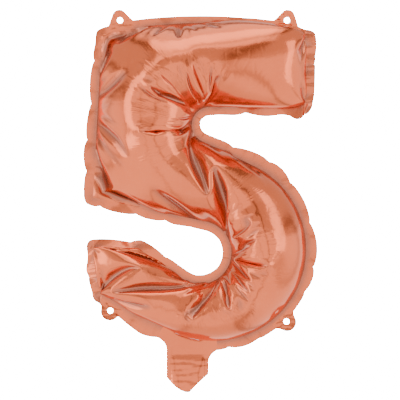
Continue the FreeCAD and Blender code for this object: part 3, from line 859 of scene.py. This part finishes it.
class Finish:
    """Nodes of one material or of the studio's light."""

    def __init__(self, owner):
        owner.use_nodes = True
        self.owner, self.tree = owner, owner.node_tree

    def node(self, kind, settings, *values, output=0, **named):
        """Adds a node: its settings first, then what goes into its sockets, by place or by name."""
        added = self.tree.nodes.new("ShaderNode" + kind)
        for name, setting in settings.items():
            setattr(added, name, setting)
        for socket, value in zip(added.inputs, values):
            self.feed(socket, value)
        for name, value in named.items():
            self.feed(added.inputs[name], value)
        return Value(self, added.outputs[output])

    def feed(self, socket, value):
        if isinstance(value, Value):
            self.tree.links.new(value.socket, socket)
        else:
            socket.default_value = value

    def mix(self, share, one, other):
        """Colour between two others."""
        added = self.tree.nodes.new("ShaderNodeMix")
        added.data_type = "RGBA"
        self.feed(added.inputs["Factor"], share)
        first_colour = 6
        self.feed(added.inputs[first_colour], one)
        self.feed(added.inputs[first_colour + 1], other)
        return Value(self, added.outputs[2])

    def shader(self, **sockets):
        for name, value in sockets.items():
            self.feed(self.tree.nodes["Principled BSDF"].inputs[name.replace("_", " ")], value)


ROSE_GOLD = (0.75, 0.150, 0.051, 1)
ROSE_GOLD_LIGHT = (0.77, 0.178, 0.068, 1)
ROSE_GOLD_DEEP = (0.67, 0.127, 0.042, 1)
# darker brown painted into creases and along the seam as shade
ROSE_GOLD_CREASE_SHADE = (0.30, 0.100, 0.062, 1)
METAL, LACQUER, LACQUER_ROUGHNESS = 0.88, 0.15, 0.06
CLEAR_FILM = (0.90, 0.88, 0.86, 1)
CLEAR_FILM_MILKY = (0.97, 0.95, 0.93, 1)


def crimped(finish):
    """Height of the fine gathers that stand across the crown of a bend, in short rows."""
    crimp, along, across = (finish.node("Attribute", {"attribute_name": name}, output=NUMBER)
                            for name in ("crimp", "film_along", "film_across"))
    rows = finish.node("CombineXYZ", {}, along * 0.42, across * 0.035, 0.0)
    gathers = finish.node("TexNoise", {}, Vector=rows, Scale=1.0, Detail=1.0)
    where = finish.node("CombineXYZ", {}, along * 0.045, across * 0.05, 3.0)
    patches = finish.node("TexNoise", {}, Vector=where, Scale=1.0, Detail=1.0)
    return gathers * crimp * ((patches - 0.46) * 7.0).clipped()


def foil(name, roughness, crinkle, scuff, gathered=False):
    """Metallised film: clear lacquer over rose gold, with a fine crinkle, a little rub and painted shade in
    its creases and along its seam.
    """
    finish = Finish(bpy.data.materials.new(name))
    place = finish.node("TexCoord", {}, output=OBJECT_PLACE)
    tone = finish.node("TexNoise", {}, Vector=place, Scale=22.0, Detail=3.0)
    rub = finish.node("TexNoise", {}, Vector=place, Scale=160.0, Detail=4.0, Roughness=0.6)
    worn = ((rub - 0.55) * 4.0).clipped()
    colour = finish.mix(((tone - 0.35) * 1.8).clipped(), ROSE_GOLD_DEEP, ROSE_GOLD)
    colour = finish.mix(worn * 0.35, colour, ROSE_GOLD_LIGHT)
    # painted shade: in creases and along the seam the colour turns darker and browner, with less metal and
    # more roughness
    fold = finish.node("Attribute", {"attribute_name": "fold"}, output=NUMBER)
    colour = finish.mix(fold, colour, ROSE_GOLD_CREASE_SHADE)
    creases = finish.node("TexVoronoi", {"feature": "DISTANCE_TO_EDGE"}, Vector=place, Scale=95.0)
    soft = finish.node("TexNoise", {}, Vector=place, Scale=48.0, Detail=2.0)
    height = soft * 0.7 + (creases * 5.0).clipped() * 0.12 + rub * 0.05
    bump = finish.node("Bump", {}, Strength=crinkle, Distance=0.0012, Height=height)
    if gathered:
        bump = finish.node("Bump", {}, Strength=1.0, Distance=0.0006, Height=crimped(finish), Normal=bump)
    finish.shader(Base_Color=colour, Metallic=METAL - fold * 0.25,
                  Roughness=worn * scuff + fold * 0.10 + roughness,
                  Coat_Weight=LACQUER, Coat_Roughness=LACQUER_ROUGHNESS, Normal=bump)
    return finish.owner


def rose_gold_foil():
    return foil("rose_gold_foil", roughness=0.15, crinkle=0.18, scuff=0.10, gathered=True)


def rose_gold_weld():
    return foil("rose_gold_weld", roughness=0.19, crinkle=0.45, scuff=0.14)


def valve_film():
    """Clear film of the valve, a little milky where it has creased."""
    finish = Finish(bpy.data.materials.new("valve_film"))
    place = finish.node("TexCoord", {}, output=OBJECT_PLACE)
    haze = finish.node("TexNoise", {}, Vector=place, Scale=90.0, Detail=3.0)
    bump = finish.node("Bump", {}, Strength=0.4, Distance=0.0008, Height=haze)
    finish.shader(Base_Color=finish.mix(haze, CLEAR_FILM, CLEAR_FILM_MILKY), Roughness=haze * 0.2 + 0.12,
                  Alpha=haze * 0.3 + 0.35, Coat_Weight=0.3, Normal=bump)
    return finish.owner


def finish_with(piece, material):
    piece.data.materials.clear()
    piece.data.materials.append(material)


def point(plan):
    """A place of the plan in the frame's metres."""
    return plan.real * MM, 0, plan.imag * MM


def dress():
    """Materials, the body that the foils and the margin ride on, and the solids that each piece stands for.
    """
    body_foil, weld_foil, clear = rose_gold_foil(), rose_gold_weld(), valve_film()
    for piece, node in ((front_foil, "front_film"), (back_foil, "back_film")):
        finish_with(piece, body_foil)
        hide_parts(node)
        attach(piece, "balloon")
    finish_with(welded_margin, weld_foil)
    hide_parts("seam_margin")
    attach(welded_margin, "balloon")
    for piece, place in zip(tabs, TABS):
        finish_with(piece, weld_foil)
        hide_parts(f"hanging_tab_{place.name}")
        start, end = (place.fold + place.out * rise for rise in TAB_BEND)
        point(start)
        point(end)
        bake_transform(piece)
    for piece, side in zip(neck_films, ("front", "back")):
        finish_with(piece, body_foil)
        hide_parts(f"neck_{side}_film")
        start, end = (complex(NECK_X, NECK_FOLD + rise) for rise in NECK_BEND)
        point(start)
        point(end)
        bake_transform(piece)
    for name, node in frame["nodes"].items():
        if name.startswith("valve_"):
            node.data.materials.clear()
            node.data.materials.append(clear)


dress()


# ---------------------------------------------------------------- studio

MIDDLE = Vector((-0.0035, 0, -0.1796))
CAMERA_REACH = 2.4
VIEW_SIZE = 0.4
FLOOR_RADIUS, FLOOR_HEIGHT, COVE_RADIUS = 1.8, -0.62, 5.0
# The room's light by direction: steps up or down over a share of the way up, and grey gaps by the middle,
# half width and depth of each.
ROOM_LIGHT, ROOM_STRENGTH, ROOM_COLOUR = 1.34, 1.6, (1.0, 0.985, 0.97, 1)
ROOM_STEPS = (0.20, 0.30, -0.62), (0.84, 0.93, 0.80), (-0.80, -0.97, -0.30)
GAPS_UP = (0.845, 0.035, 0.75), (0.21, 0.035, 0.60)
GAPS_ASIDE = (0.37, 0.05, 0.75), (-0.30, 0.04, 0.45), (0.93, 0.03, 0.50), (-0.93, 0.03, 0.50)


def light(name, place, size, power):
    """Soft panel of light that faces the figure."""
    lamp = bpy.data.lights.new(name, "AREA")
    lamp.shape = "RECTANGLE"
    lamp.size, lamp.size_y = size
    lamp.energy = power
    holder = bpy.data.objects.new(name, lamp)
    holder.location = place
    holder.rotation_euler = (MIDDLE - Vector(place)).to_track_quat("-Z", "Y").to_euler()
    bpy.context.scene.collection.objects.link(holder)


def room():
    """Light that comes from all round: bright overhead and at the sides, with soft grey gaps between
    the panels that the foil mirrors as darker lines."""
    world = bpy.data.worlds.new("pale_room")
    bpy.context.scene.world = world
    finish = Finish(world)
    toward = finish.node("TexCoord", {}, output=DIRECTION)
    side = finish.node("SeparateXYZ", {}, toward, output=0)
    up = finish.node("SeparateXYZ", {}, toward, output=2)

    def band(value, middle, width):
        off = ((value - middle) * (1 / width)).squared()
        return finish.node("Math", {"operation": "EXPONENT"}, off * -1.0)

    def beyond(value, start, end):
        return ((value - start) * (1 / (end - start))).clipped()

    brightness = ROOM_LIGHT
    for start, end, change in ROOM_STEPS:
        brightness = brightness + beyond(up, start, end) * change
    for middle, width, depth in GAPS_UP:
        brightness = brightness - band(up, middle, width) * depth
    for middle, width, depth in GAPS_ASIDE:
        brightness = brightness - band(side, middle, width) * depth
    background = finish.tree.nodes["Background"].inputs
    finish.feed(background["Strength"], brightness * ROOM_STRENGTH)
    finish.feed(background["Color"], ROOM_COLOUR)


def paper(name, colour, glow):
    finish = Finish(bpy.data.materials.new(name))
    grain = finish.node("TexNoise", {}, Scale=60.0, Detail=2.0)
    finish.shader(Base_Color=finish.mix(grain * 0.1, colour, (1, 1, 1, 1)), Roughness=0.9,
                  Emission_Color=(1, 1, 1, 1), Emission_Strength=glow)
    return finish.owner


def set_stage(piece):
    """Adds a piece of the studio that only the camera sees, so that the foil mirrors the plain room."""
    piece.visible_glossy = piece.visible_diffuse = False
    piece.visible_shadow = piece.visible_transmission = False
    bpy.context.scene.collection.objects.link(piece)


def disc(name, radius, height, material):
    turn = np.linspace(0, 2 * math.pi, 97)[:-1]
    mesh = bpy.data.meshes.new(name)
    rim = [(radius * math.cos(a), radius * math.sin(a), height) for a in turn]
    mesh.from_pydata(rim, [], [range(len(rim))])
    mesh.materials.append(material)
    set_stage(bpy.data.objects.new(name, mesh))


def backdrop():
    """White cove all round."""
    turn, rise = np.linspace(0, 2 * math.pi, 65)[:-1], np.linspace(-math.pi / 2, math.pi / 2, 33)
    turn, rise = np.meshgrid(turn, rise)
    level = np.cos(rise)
    wall = np.stack([np.cos(turn) * level, np.sin(turn) * level, np.sin(rise)], -1) * COVE_RADIUS
    points = np.arange(turn.size).reshape(turn.shape)
    after = np.roll(points, -1, axis=1)
    faces = np.stack([points[:-1], points[1:], after[1:], after[:-1]], -1).reshape(-1, 4)
    mesh = bpy.data.meshes.new("white_cove")
    mesh.from_pydata(wall.reshape(-1, 3).tolist(), [], faces.tolist())
    mesh.materials.append(paper("cove_white", (0.95, 0.95, 0.95, 1), 30.0))
    set_stage(bpy.data.objects.new("white_cove", mesh))


def studio():
    room()
    light("overhead", (0.0, -0.5, 1.1), (1.4, 1.0), 8)
    light("left_panel", (-1.3, -0.8, 0.1), (0.6, 1.3), 6)
    light("right_panel", (1.4, -0.6, 0.2), (0.5, 1.2), 4.5)
    disc("pale_floor", FLOOR_RADIUS, FLOOR_HEIGHT, paper("floor_pale", (0.86, 0.86, 0.85, 1), 9.0))
    backdrop()
    lens = bpy.data.cameras.new("front_view")
    lens.sensor_width = 36
    lens.lens = lens.sensor_width * CAMERA_REACH / VIEW_SIZE
    camera = bpy.data.objects.new("front_view", lens)
    camera.location = MIDDLE + Vector((0, -CAMERA_REACH, 0))
    camera.rotation_euler = (math.pi / 2, 0, 0)
    bpy.context.scene.collection.objects.link(camera)
    bpy.context.scene.camera = camera


studio()
